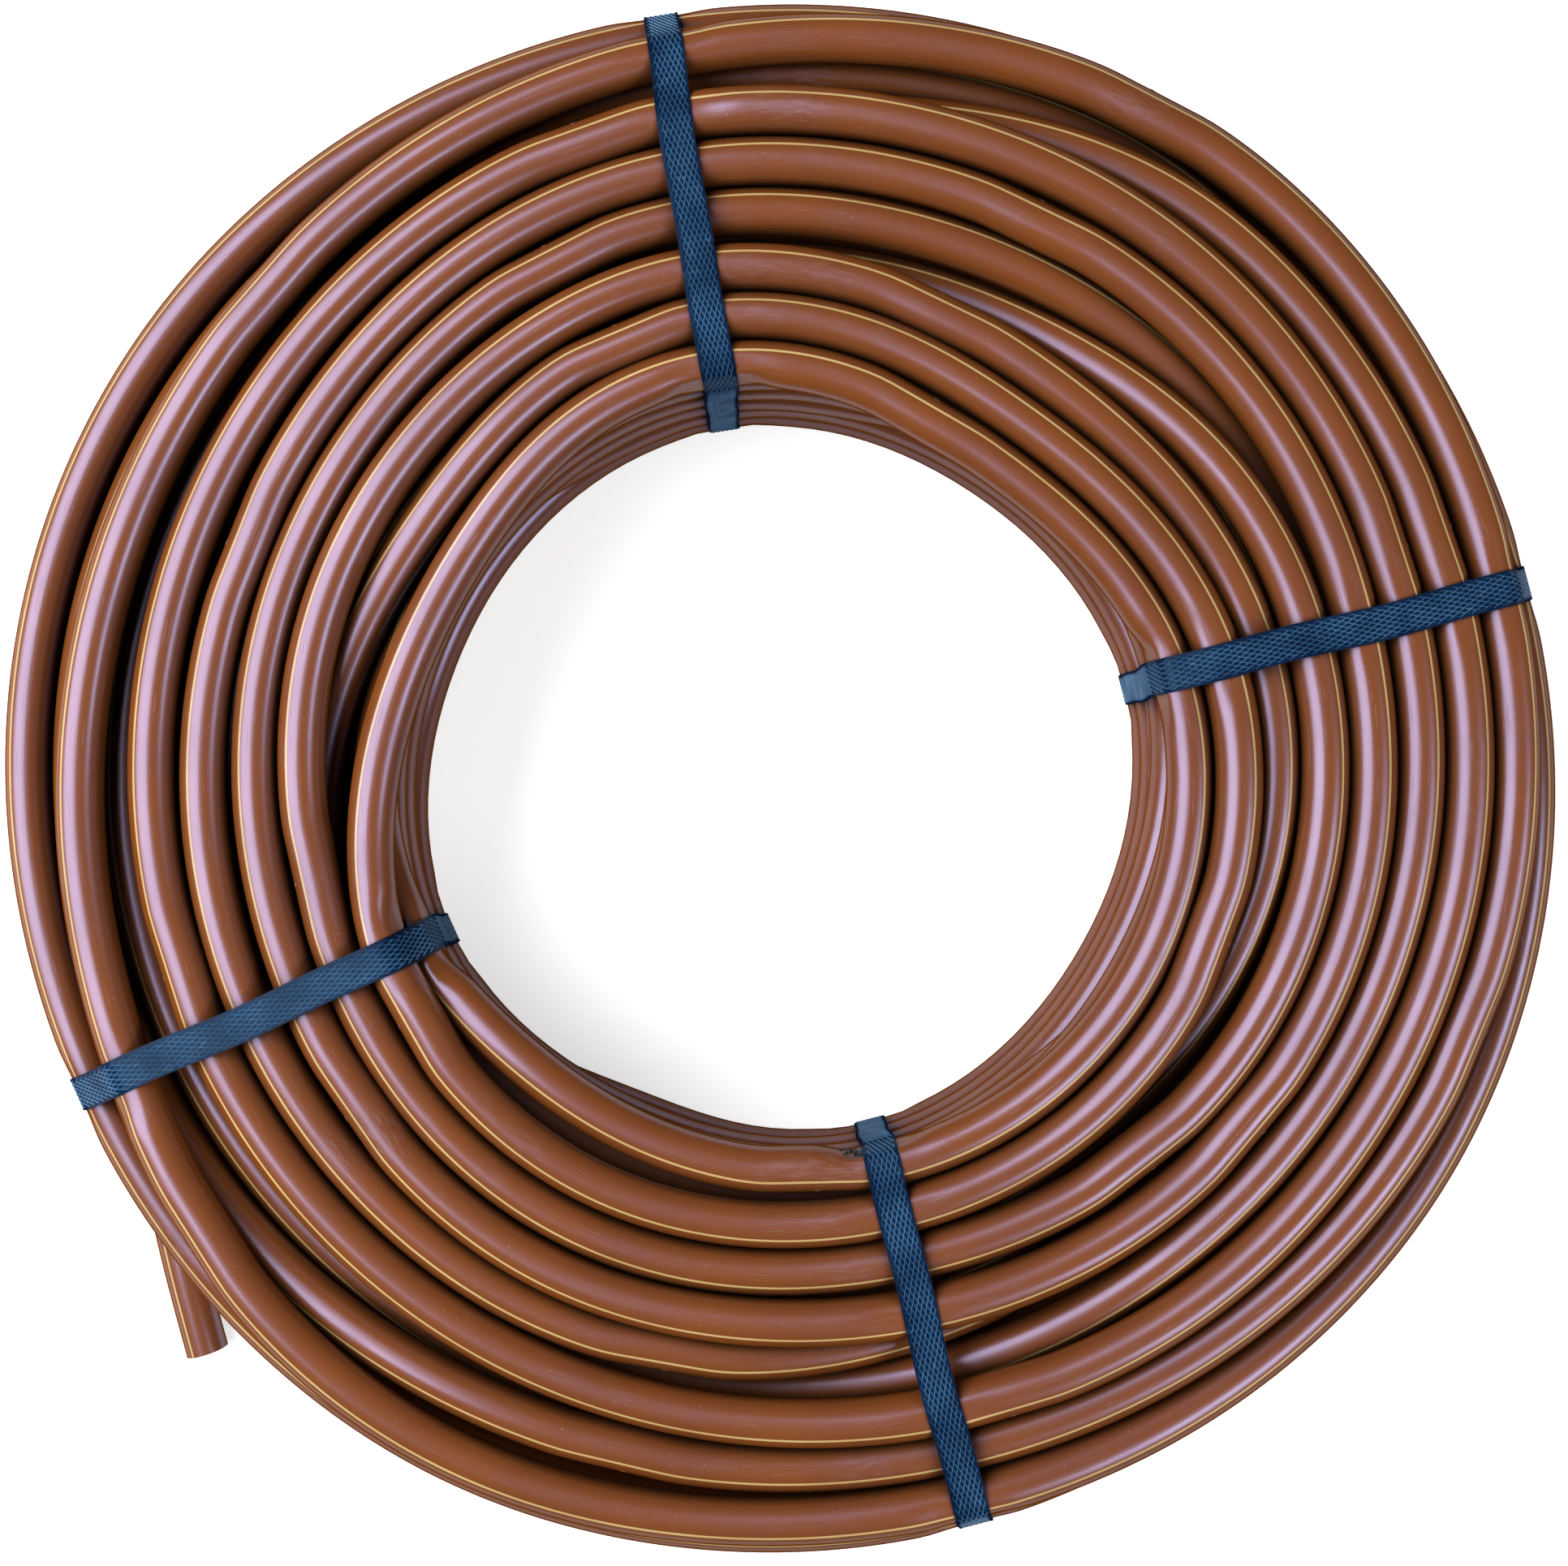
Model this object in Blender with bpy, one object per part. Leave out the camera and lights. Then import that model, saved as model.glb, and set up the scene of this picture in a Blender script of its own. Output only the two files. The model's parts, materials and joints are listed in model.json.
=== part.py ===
"""A tied coil of 16 mm inline drip hose: five buried layers, a loosely laid top layer, an outer wrap,
a free tail, the drip emitters bonded inside the top layer, and four flat straps.

Run with: blender --background --python part.py
Metres, +Z up. The origin is on the coil's axis, at the level of the face it rests on.
The hose is one winding that always travels anticlockwise. It is described at stations, which are
fixed angles round the coil, so that neighbouring turns bend at the same angles and stay clear.
"""

import math
from typing import NamedTuple

import bmesh
import bpy
import numpy as np
from mathutils import Matrix, Vector

MM = 0.001

# The hose and its emitters
HOSE_RADIUS = 8.0 * MM
BORE_RADIUS = 6.8 * MM
SECTION_SIDES = 6
CUT_GAP = 0.4 * MM
EMITTER_RADIUS = 6.2 * MM
EMITTER_BORE = 4.2 * MM
EMITTER_LENGTH = 36.0 * MM
EMITTER_PITCH = 345.0 * MM
EMITTER_END_ROOM = 21.0 * MM

# The straps
STRAP_ANGLES = (14.6, 99.0, 204.4, 284.6)
STRAP_NAMES = ("strap_right", "strap_top", "strap_left", "strap_bottom")
STRAP_WIDTH = 12.0 * MM
STRAP_THICKNESS = 0.8 * MM
STRAP_GAP = 0.4 * MM
TAIL_STRAP = "strap_left"
SECTION_POINTS = 12
CHORD_SAG = 2.4 * MM

# Stations: how many equal steps each span between two straps is divided into
SPAN_STEPS = (4, 5, 4, 4)
TURN_STATIONS = sum(SPAN_STEPS)
RAMP = 2

# Buried layers: shells are concentric turns, pulled together at the straps and slack between them
SHELLS = 8
OUTER_SHELL = SHELLS - 1
INNER_AT_STRAP = 148.0 * MM
INNER_AT_MIDSPAN = 144.0 * MM
PITCH_AT_STRAP = 16.4 * MM
PITCH_AT_MIDSPAN = 17.36 * MM
LAYER_PITCH = 16.4 * MM
FIRST_LAYER_Z = STRAP_THICKNESS + STRAP_GAP + HOSE_RADIUS
BURIED_LAYERS = 5
UNDER_LAYER = 5
TOP_LAYER = 6
FIRST_STATION = 13
SHORT_HOLD = 13
LONG_HOLD = 15

# Top layer: radii in mm at each strap and at the middle of each span, going anticlockwise
KNOT_ANGLES = (14.6, 57.0, 99.0, 152.0, 204.4, 245.0, 284.6, 330.0)
RUN_A = (139, 133.5, 138.5, 143, 143, 134, 146, 132, 144, 151.5, 153.5, 158, 158.5, 151, 159, 151, 151)
RUN_B = (166, 168, 170, 170, 166, 174, 162, 163, 169, 170, 182, 185, 180.5, 181)
RUN_C = (194, 192, 196, 183, 179.5, 188, 192, 199, 202.5, 207, 211, 199, 197.5, 198.5, 196, 196)
RUN_D = (211, 212, 215, 220, 224, 227, 217.5, 214.5, 217, 222, 231, 236.5, 239, 235)
RUN_E = (240, 236.5, 236, 246, 252.5, 260, 250, 239, 241, 251, 252, 258)


class Run(NamedTuple):
    """One visible run. The hose lies in the under layer for some stations, may change shell, and lies there
    for some more. It then rises into the top layer, follows its radii, and dives to its landing shell."""
    name: str
    before: int
    shell: int
    after: int
    radii: tuple
    first_knot: int
    end_index: int
    turns: int
    landing: int
    anchor_angle: float


RUNS = (
    Run("hose_top_a", 15, 0, 0, RUN_A, 4, 6, 2, 1, 427.5),
    Run("hose_top_b", 6, 1, 0, RUN_B, 5, 1, 2, 2, 552.0),
    Run("hose_top_c", 11, 3, 1, RUN_C, 0, 12, 1, 3, 222.0),
    Run("hose_top_d", 0, 4, 13, RUN_D, 5, 2, 2, 5, 649.0),
    Run("hose_top_e", 13, 6, 7, RUN_E, 4, 13, 1, 7, 257.0),
)
LAST_HOLD = 10

# Settling: turns that touch in the top layer push each other aside
CLEAR_DISTANCE = 16.5 * MM
SETTLE_STEPS = 600
NEIGHBOUR_REACH = 45.0 * MM
PULL = 0.04
SMOOTHING = 0.15
PUSH = 0.6
FADE_RATE = 1.25

# The free tail leaves the outer wrap along a slack arc in the lowest layer
TAIL_LENGTH = 215.0 * MM
TAIL_ARC_RADIUS = 970.0 * MM
TAIL_LEAD_STEPS = (36.0 * MM, 70.0 * MM, 100.0 * MM, 110.0 * MM)
TAIL_STEPS = (114.0 * MM, 148.0 * MM, 182.0 * MM, TAIL_LENGTH)
TAIL_PIVOT = 112.0 * MM
TAIL_UNDER_STRAP = (93.0 * MM, 100.0 * MM, 107.0 * MM)


def clear_scene():
    for item in list(bpy.data.objects):
        bpy.data.objects.remove(item, do_unlink=True)


def material(name, color, roughness, metallic=0.0):
    mat = bpy.data.materials.new(name)
    mat.use_nodes = True
    shader = mat.node_tree.nodes["Principled BSDF"]
    shader.inputs["Base Color"].default_value = (*color, 1.0)
    shader.inputs["Roughness"].default_value = roughness
    shader.inputs["Metallic"].default_value = metallic
    return mat


# ---------------------------------------------------------------- stations and shells

def station_angles():
    """Degrees of the stations in one turn, starting at the first strap."""
    angles = []
    for span, steps in enumerate(SPAN_STEPS):
        start = STRAP_ANGLES[span]
        end = STRAP_ANGLES[(span + 1) % 4] + (360.0 if span == 3 else 0.0)
        angles.extend(start + (end - start) * step / steps for step in range(steps))
    return angles


STATION_ANGLES = station_angles()


def station_angle(station):
    turn, index = divmod(station, TURN_STATIONS)
    return 360.0 * turn + STATION_ANGLES[index]


def strap_closeness(station):
    """1 at a strap and 0 in the middle of a span."""
    index = station % TURN_STATIONS
    for steps in SPAN_STEPS:
        if index < steps:
            return 0.5 + 0.5 * math.cos(2.0 * math.pi * index / steps)
        index -= steps
    raise ValueError(station)


def shell_radius(station, shell):
    slack = INNER_AT_MIDSPAN + PITCH_AT_MIDSPAN * shell
    tight = INNER_AT_STRAP + PITCH_AT_STRAP * shell
    return slack + (tight - slack) * strap_closeness(station)


def layer_height(layer):
    return FIRST_LAYER_Z + LAYER_PITCH * layer


def knot_radius(radii, first_knot, angle):
    """Smooth curve through a run's radii. first_knot counts knots from angle zero of the run's first turn."""
    numbers = [divmod(first_knot + n, len(KNOT_ANGLES)) for n in range(len(radii))]
    knots = [360.0 * turn + KNOT_ANGLES[index] for turn, index in numbers]
    slopes = np.gradient(np.array(radii, dtype=float), np.array(knots))
    place = min(max(np.searchsorted(knots, angle) - 1, 0), len(knots) - 2)
    width = knots[place + 1] - knots[place]
    t = min(max((angle - knots[place]) / width, 0.0), 1.0)
    value = (radii[place] * (1 + 2 * t) * (1 - t) ** 2 + radii[place + 1] * t * t * (3 - 2 * t)
             + width * (slopes[place] * t * (1 - t) ** 2 + slopes[place + 1] * t * t * (t - 1)))
    return value * MM


# ---------------------------------------------------------------- the winding

class Winding:
    """The hose's centreline as a radius and a height at each station, in order."""

    def __init__(self, station, shell, layer):
        self.first = station
        self.shell = shell
        self.layer = layer
        self.radius = [shell_radius(station, shell)]
        self.height = [layer_height(layer)]

    def station(self):
        return self.first + len(self.radius) - 1

    def lay(self, steps, shell=None, layer=None):
        """Lays hose in the shells for some steps, moving evenly to another shell or layer if told to."""
        shell = self.shell if shell is None else shell
        layer = self.layer if layer is None else layer
        for step in range(1, steps + 1):
            share = step / steps
            now = self.station() + 1
            self.radius.append(shell_radius(now, self.shell + (shell - self.shell) * share))
            self.height.append(layer_height(self.layer + (layer - self.layer) * share))
        self.shell = shell
        self.layer = layer

    def lay_top(self, radii, first_knot, end_index, turns):
        """Rises from the shells, follows a run's knots, and dives back after it."""
        base = 360.0 * (self.station() // TURN_STATIONS)
        start = self.station()
        end = (start // TURN_STATIONS + turns) * TURN_STATIONS + end_index
        while self.station() < end:
            now = self.station() + 1
            rise = min((now - start) / RAMP, 1.0)
            wanted = knot_radius(radii, first_knot, station_angle(now) - base)
            self.radius.append(shell_radius(now, self.shell) * (1 - rise) + wanted * rise)
            self.height.append(layer_height(UNDER_LAYER + rise))
        return base

    def dive(self, radii, first_knot, base, shell):
        for step in range(1, RAMP + 1):
            now = self.station() + 1
            wanted = knot_radius(radii, first_knot, station_angle(now) - base)
            share = step / RAMP
            self.radius.append(wanted * (1 - share) + shell_radius(now, shell) * share)
            self.height.append(layer_height(TOP_LAYER - share))
        self.shell = shell
        self.layer = UNDER_LAYER


def lay_buried_layer(winding, inward):
    """Goes through the shells in one direction, then climbs to the next layer."""
    winding.lay(SHORT_HOLD)
    for crossing in range(OUTER_SHELL - 1):
        winding.lay(RAMP, shell=winding.shell + (-1 if inward else 1))
        last = crossing == OUTER_SHELL - 2
        winding.lay(SHORT_HOLD if last else LONG_HOLD)
    winding.lay(RAMP, layer=winding.layer + 1)


def lay_run(winding, run):
    """One visible run. Returns the stations between which it lies in the top layer, and its zero angle."""
    winding.lay(run.before)
    if run.shell != winding.shell:
        winding.lay(RAMP, shell=run.shell)
    winding.lay(run.after)
    start = winding.station() + RAMP
    base = winding.lay_top(run.radii, run.first_knot, run.end_index, run.turns)
    end = winding.station()
    winding.dive(run.radii, run.first_knot, base, run.landing)
    return start, end, base


def lay_outer_wrap(winding):
    """Steps down the outside one layer a turn, and ends in the lowest layer where the tail leaves."""
    for layer in range(UNDER_LAYER - 1, -1, -1):
        winding.lay(LONG_HOLD)
        winding.lay(RAMP, layer=layer)
    winding.lay(LAST_HOLD)


def wind_hose():
    """Builds the whole centreline. Returns it with the named lengths and the visible runs."""
    winding = Winding(FIRST_STATION, OUTER_SHELL - 1, 0)
    lengths = {}
    runs = []
    for layer in range(BURIED_LAYERS):
        start = winding.station()
        lay_buried_layer(winding, inward=layer % 2 == 0)
        lengths[f"hose_layer_{layer + 1}"] = (start, winding.station())
    for run in RUNS:
        start = winding.station()
        runs.append(lay_run(winding, run))
        lengths[run.name] = (start, winding.station())
    start = winding.station()
    lay_outer_wrap(winding)
    lengths["hose_outer_wrap"] = (start, winding.station())
    return winding, lengths, runs


def neighbour_pairs(wanted, free):
    """Pairs of stations at the same angle that lie near each other, at least one of them free to move."""
    pairs = []
    count = len(wanted)
    for mine in np.nonzero(free)[0]:
        for other in range(mine % TURN_STATIONS, count, TURN_STATIONS):
            counted_already = free[other] and other <= mine
            if not counted_already and np.hypot(*(wanted[mine] - wanted[other])) < NEIGHBOUR_REACH:
                pairs.append((mine, other))
    return np.array(pairs)


def settle(winding, start, end):
    """Pushes turns between two stations apart until neighbours are clear, keeping near their wanted places."""
    first = winding.first
    wanted = np.column_stack([winding.radius, winding.height])
    place = wanted.copy()
    count = len(place)
    free = np.zeros(count)
    free[start - first:end - first + 1] = 1.0
    pairs = neighbour_pairs(wanted, free)
    middles = pairs[(pairs < count - 1).all(axis=1)]

    def push(links, offsets):
        points = sum(place[links + k] for k in offsets) / len(offsets)
        gap = points[:, 1] - points[:, 0]
        distance = np.maximum(np.hypot(gap[:, 0], gap[:, 1]), 1e-6)
        short = np.maximum(CLEAR_DISTANCE - distance, 0.0)
        step = gap / distance[:, None] * short[:, None]
        for side, sign in ((0, -1.0), (1, 1.0)):
            for k in offsets:
                mine = free[links[:, side] + k]
                other = free[links[:, 1 - side] + k]
                share = mine / np.maximum(mine + other, 1.0)
                np.add.at(place, links[:, side] + k, sign * step * (share * PUSH)[:, None])

    for step in range(SETTLE_STEPS):
        fade = max(0.0, 1.0 - FADE_RATE * step / SETTLE_STEPS)
        offset = place - wanted
        smooth = offset.copy()
        smooth[1:-1] = 0.5 * (offset[:-2] + offset[2:])
        place += ((smooth - offset) * SMOOTHING - offset * PULL) * fade * free[:, None]
        push(pairs, (0,))
        push(middles, (0, 1))
    winding.radius = list(place[:, 0])
    winding.height = list(place[:, 1])


# ---------------------------------------------------------------- rings and solids

def outward(angle):
    return Vector((math.cos(math.radians(angle)), math.sin(math.radians(angle)), 0.0))


def station_ring(winding, station):
    """Centre of the hose at a station, and the ring's sideways direction, away from the coil's axis."""
    side = outward(station_angle(station))
    index = station - winding.first
    centre = side * winding.radius[index] + Vector((0.0, 0.0, winding.height[index]))
    return centre, side


def tail_ring(winding, along):
    """The same for a point on the slack arc that the end of the hose follows."""
    last = winding.station()
    start = station_ring(winding, last)[0]
    heading = math.radians(station_angle(last) % 360.0 + 90.0)
    turn = along / TAIL_ARC_RADIUS
    chord = 2.0 * TAIL_ARC_RADIUS * math.sin(turn / 2.0)
    middle = heading + turn / 2.0
    centre = start + Vector((math.cos(middle), math.sin(middle), 0.0)) * chord
    final = heading + turn
    return centre, Vector((math.sin(final), -math.cos(final), 0.0))


def trimmed(rings):
    """Moves both end rings inwards by half the gap that is left where the hose is divided."""
    rings = list(rings)
    for end, neighbour in ((0, 1), (-1, -2)):
        centre, side = rings[end]
        step = (rings[neighbour][0] - centre).normalized() * (CUT_GAP / 2.0)
        rings[end] = (centre + step, side)
    return rings


def ring_vertices(mesh, ring, radius):
    centre, side = ring
    corners = []
    for corner in range(SECTION_SIDES):
        turn = 2.0 * math.pi * corner / SECTION_SIDES
        corners.append(mesh.verts.new(centre + side * radius * math.cos(turn)
                                      + Vector((0.0, 0.0, radius * math.sin(turn)))))
    return corners


def join_rings(mesh, loops):
    for near, far in zip(loops, loops[1:]):
        for corner in range(SECTION_SIDES):
            after = (corner + 1) % SECTION_SIDES
            mesh.faces.new((near[corner], near[after], far[after], far[corner]))


def add_object(name, mesh, mat, smooth=True):
    bmesh.ops.recalc_face_normals(mesh, faces=mesh.faces)
    data = bpy.data.meshes.new(name)
    mesh.to_mesh(data)
    mesh.free()
    if smooth:
        data.shade_smooth()
        data.set_sharp_from_angle(angle=math.radians(70.0))
    data.materials.append(mat)
    item = bpy.data.objects.new(name, data)
    bpy.context.scene.collection.objects.link(item)
    return item


def hose_solid(name, rings, mat, hollow):
    """A length of hose with plain cut ends. A hollow length has its bore open at both ends."""
    mesh = bmesh.new()
    outer = [ring_vertices(mesh, ring, HOSE_RADIUS) for ring in rings]
    join_rings(mesh, outer)
    if not hollow:
        mesh.faces.new(outer[0])
        mesh.faces.new(outer[-1])
        return add_object(name, mesh, mat)
    inner = [ring_vertices(mesh, ring, BORE_RADIUS) for ring in rings]
    join_rings(mesh, inner)
    join_rings(mesh, [outer[0], inner[0]])
    join_rings(mesh, [outer[-1], inner[-1]])
    return add_object(name, mesh, mat)


def emitter_mesh(mat):
    """A short sleeve with an open bore, lying along X."""
    mesh = bmesh.new()
    ends = []
    for x in (-EMITTER_LENGTH / 2.0, EMITTER_LENGTH / 2.0):
        ring = (Vector((x, 0.0, 0.0)), Vector((0.0, -1.0, 0.0)))
        ends.append((ring_vertices(mesh, ring, EMITTER_RADIUS), ring_vertices(mesh, ring, EMITTER_BORE)))
    join_rings(mesh, [ends[0][0], ends[1][0]])
    join_rings(mesh, [ends[0][1], ends[1][1]])
    join_rings(mesh, [ends[0][0], ends[0][1]])
    join_rings(mesh, [ends[1][0], ends[1][1]])
    bmesh.ops.recalc_face_normals(mesh, faces=mesh.faces)
    data = bpy.data.meshes.new("emitter")
    mesh.to_mesh(data)
    mesh.free()
    data.materials.append(mat)
    return data


def place_emitter(number, data, near, far, along):
    """Lays an emitter along the straight hose between two ring centres."""
    direction = (far - near).normalized()
    sideways = Vector((0.0, 0.0, 1.0)).cross(direction).normalized()
    upward = direction.cross(sideways)
    turn = Matrix((direction, sideways, upward)).transposed()
    item = bpy.data.objects.new(f"emitter_{number:02d}", data)
    item.location = near + direction * along
    item.rotation_euler = turn.to_euler()
    bpy.context.scene.collection.objects.link(item)


def add_emitters(winding, runs, mat):
    """One emitter each pitch along a run, counted both ways from the run's anchor angle."""
    data = emitter_mesh(mat)
    number = 0
    for (start, end, base), run in zip(runs, RUNS):
        centres = [station_ring(winding, station)[0] for station in range(start, end + 1)]
        angles = [station_angle(station) - base for station in range(start, end + 1)]
        travel = np.concatenate([[0.0], np.cumsum([(b - a).length for a, b in zip(centres, centres[1:])])])
        anchor_travel = float(np.interp(run.anchor_angle, angles, travel))
        along = anchor_travel % EMITTER_PITCH
        while along < travel[-1]:
            place = min(int(np.searchsorted(travel, along, side="right")) - 1, len(centres) - 2)
            length = travel[place + 1] - travel[place]
            inside = min(max(along - travel[place], EMITTER_END_ROOM), length - EMITTER_END_ROOM)
            number += 1
            place_emitter(number, data, centres[place], centres[place + 1], inside)
            along += EMITTER_PITCH


def hull_outline(points):
    """Convex outline of points in a plane, anticlockwise."""
    points = sorted(set(points))
    outline = []
    for ordered in (points, points[::-1]):
        chain = []
        for point in ordered:
            while len(chain) > 1 and ((chain[-1][0] - chain[-2][0]) * (point[1] - chain[-2][1])
                                      - (chain[-1][1] - chain[-2][1]) * (point[0] - chain[-2][0])) <= 0:
                chain.pop()
            chain.append(point)
        outline.extend(chain[:-1])
    return outline


def offset_outline(outline, distance):
    """Moves each side of an anticlockwise convex outline outwards by the same distance."""
    moved = []
    for n, point in enumerate(outline):
        here = Vector(point)
        edge_in = (here - Vector(outline[n - 1])).normalized()
        edge_out = (Vector(outline[(n + 1) % len(outline)]) - here).normalized()
        normal_in = Vector((edge_in.y, -edge_in.x))
        bisector = (normal_in + Vector((edge_out.y, -edge_out.x))).normalized()
        moved.append(tuple(here + bisector * (distance / bisector.dot(normal_in))))
    return moved


def section_points(centre, side):
    """Points round one turn where it passes under a strap, in the strap's plane."""
    points = []
    for step in range(SECTION_POINTS):
        turn = 2.0 * math.pi * step / SECTION_POINTS
        inner_slack = CHORD_SAG if math.cos(turn) < -0.01 else 0.0
        points.append((round(centre.dot(side) + HOSE_RADIUS * math.cos(turn) - inner_slack, 6),
                       round(centre.z + HOSE_RADIUS * math.sin(turn), 6)))
    return points


def strap_solid(name, angle, centres, mat):
    """A band pulled tight round every turn that passes under it."""
    side = outward(angle)
    along = Vector((0.0, 0.0, 1.0)).cross(side) * (STRAP_WIDTH / 2.0)
    outline = hull_outline([point for centre in centres for point in section_points(centre, side)])
    mesh = bmesh.new()
    loops = []
    for distance, end in ((STRAP_GAP, -1), (STRAP_GAP + STRAP_THICKNESS, -1),
                          (STRAP_GAP + STRAP_THICKNESS, 1), (STRAP_GAP, 1)):
        corners = offset_outline(outline, distance)
        loops.append([mesh.verts.new(side * across + Vector((0.0, 0.0, height)) + along * end)
                      for across, height in corners])
    for loop, following in zip(loops, loops[1:] + loops[:1]):
        for n in range(len(loop)):
            after = (n + 1) % len(loop)
            mesh.faces.new((loop[n], loop[after], following[after], following[n]))
    return add_object(name, mesh, mat, smooth=False)


def add_straps(winding, mat):
    index = 0
    for name, angle, steps in zip(STRAP_NAMES, STRAP_ANGLES, SPAN_STEPS):
        last = winding.station()
        centres = [station_ring(winding, station)[0] for station in range(winding.first, last + 1)
                   if station % TURN_STATIONS == index]
        if name == TAIL_STRAP:
            centres.extend(tail_ring(winding, along)[0] for along in TAIL_UNDER_STRAP)
        strap_solid(name, angle, centres, mat)
        index += steps


def add_tail(winding, mat):
    """The free end of the hose, with its origin where it bends away from the last strap."""
    rings = [tail_ring(winding, along) for along in TAIL_STEPS]
    tail = hose_solid("hose_tail", rings, mat, hollow=True)
    pivot = tail_ring(winding, TAIL_PIVOT)[0]
    tail.data.transform(Matrix.Translation(-pivot))
    tail.location = pivot


def main():
    clear_scene()
    brown = material("hose_brown", (0.30, 0.095, 0.032), 0.42)
    navy = material("strap_navy", (0.016, 0.045, 0.115), 0.35)
    black = material("emitter_black", (0.02, 0.02, 0.022), 0.5)
    winding, lengths, runs = wind_hose()
    settle(winding, lengths["hose_top_a"][0] + 1, lengths["hose_top_e"][1] - 1)
    for name, (start, end) in lengths.items():
        rings = [station_ring(winding, station) for station in range(start, end + 1)]
        if name == "hose_outer_wrap":
            rings.extend(tail_ring(winding, along) for along in TAIL_LEAD_STEPS)
        hose_solid(name, trimmed(rings), brown, hollow=name.startswith("hose_top"))
    add_tail(winding, brown)
    add_emitters(winding, runs, black)
    add_straps(winding, navy)


main()
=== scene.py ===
"""The looks of a tied coil of brown drip hose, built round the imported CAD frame.

The CAD lengths of hose give the places that the winding passes through. One smooth centreline is laid
through them, straightened where an emitter stiffens the tube, and cut into one piece per CAD length.
"""

import json
import math

import bmesh
import bpy
import numpy as np
from mathutils import Matrix, Vector


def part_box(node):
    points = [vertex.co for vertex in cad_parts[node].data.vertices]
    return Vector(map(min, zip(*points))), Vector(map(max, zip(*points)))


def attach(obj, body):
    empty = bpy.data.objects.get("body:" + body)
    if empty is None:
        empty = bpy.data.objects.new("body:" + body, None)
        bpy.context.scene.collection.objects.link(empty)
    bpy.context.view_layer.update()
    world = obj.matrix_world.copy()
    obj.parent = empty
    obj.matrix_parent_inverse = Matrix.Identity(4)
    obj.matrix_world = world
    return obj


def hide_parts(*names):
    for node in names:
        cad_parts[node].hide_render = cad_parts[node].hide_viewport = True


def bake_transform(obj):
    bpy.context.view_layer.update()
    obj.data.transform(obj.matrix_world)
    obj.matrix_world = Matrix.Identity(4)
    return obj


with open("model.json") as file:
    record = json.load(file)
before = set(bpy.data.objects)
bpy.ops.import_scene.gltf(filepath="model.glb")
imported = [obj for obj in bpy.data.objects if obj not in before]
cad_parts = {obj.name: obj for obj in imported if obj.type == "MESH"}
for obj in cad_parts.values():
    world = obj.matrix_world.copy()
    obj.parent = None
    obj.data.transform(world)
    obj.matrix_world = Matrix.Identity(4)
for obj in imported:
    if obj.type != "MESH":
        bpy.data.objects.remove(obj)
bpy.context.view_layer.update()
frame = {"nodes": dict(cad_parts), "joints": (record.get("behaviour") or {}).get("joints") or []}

MM = 0.001

# The hose. Angles are in degrees round the tube: 0 is its outward side and 90 its top.
TUBE_RADIUS = 8.0 * MM
BORE_RADIUS = 6.8 * MM
STRIPE_ANGLE = 63.0
STRIPE_WIDTH = 0.9 * MM
OUTLET_ANGLE = 25.0
SEAM_ANGLE = -90.0
FINE_STEP = 4.0 * MM
COARSE_STEP = 8.0 * MM
FINE_SIDES = 30
COARSE_SIDES = 20
LEAST_SIDES_BELOW = 3

# How far the tube turns slowly about its own axis, in degrees, as waves of travel: share, reach and phase
DRIFT = 4.0
DRIFT_WAVES = ((0.6, 0.31, 1.0), (0.4, 0.117, 2.0))

# Faces that meet at more than this many degrees keep a sharp edge
HOSE_CREASE = 50.0
STRAP_CREASE = 28.0
EMITTER_CREASE = 40.0

# Reading the CAD lengths. Corners nearer than WELD are joined, edges shorter than RING_EDGE lie within one
# ring, rings that reach past OUTER_RING are on the outer wall, and lengths nearer than JOIN_GAP share a ring.
WELD = 0.01 * MM
RING_EDGE = 8.4 * MM
OUTER_RING = 7.5 * MM
JOIN_GAP = 1.0 * MM

# Emitters
EMITTER_LENGTH = 36.0 * MM
EMITTER_RADIUS = 6.2 * MM
EMITTER_BORE = 4.2 * MM
EMITTER_ROWS = 73
EMITTER_SIDES = 40
TEETH_PITCH = 3.0 * MM
TEETH_SWAY = 2.2
TEETH_WAVES = 8.0
PATH_REACH = 14.0 * MM
PATH_DEPTH = 0.9 * MM
POOL_REACH = 10.0 * MM
POOL_DEPTH = 0.7 * MM
STIFF_REACH = 19.0 * MM

# Straps
STRAP_WIDTH = 12.0 * MM
STRAP_THICKNESS = 0.75 * MM
STRAP_LIFT = 0.12 * MM
STRAP_EDGE = 0.7 * MM
CELLS_ACROSS = 6
CELL_LENGTH = 4.0 * MM
RECESS_SHARE = 0.77
RECESS_DEPTH = 0.32 * MM
RIM_SHARE = 0.95
SLOW_WAVER = 0.5 * MM
QUICK_WAVER = 0.3 * MM
CIRCLE_POINTS = 72

# How far a strap presses into the turns on each side of the stack, and how far along them it fades out
TOP_BITE = 0.6 * MM
OUTER_BITE = 0.8 * MM
INNER_BITE = 2.4 * MM
PRESS_START = 6.5 * MM
PRESS_END = 22.0 * MM
PRESS_LIMIT = 3.0 * MM

# Directions round a turn: nothing is pressed below this sine, and the sides start at this cosine
UNDERSIDE = -0.4
SIDEWAYS = 0.7

# The free end starts this far before the joint's axis
FREE_END_LEAD = 12.0 * MM

LENGTHS = ([f"hose_layer_{n}" for n in range(1, 6)] + [f"hose_top_{n}" for n in "abcde"]
           + ["hose_outer_wrap", "hose_tail"])
STRAPS = ("strap_right", "strap_top", "strap_left", "strap_bottom")
UP = Vector((0.0, 0.0, 1.0))


# ---------------------------------------------------------------- reading the frame

def welded(node):
    """A copy of a CAD node's mesh with its corners joined."""
    mesh = bmesh.new()
    mesh.from_mesh(frame["nodes"][node].data)
    bmesh.ops.remove_doubles(mesh, verts=mesh.verts, dist=WELD)
    return mesh


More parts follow.
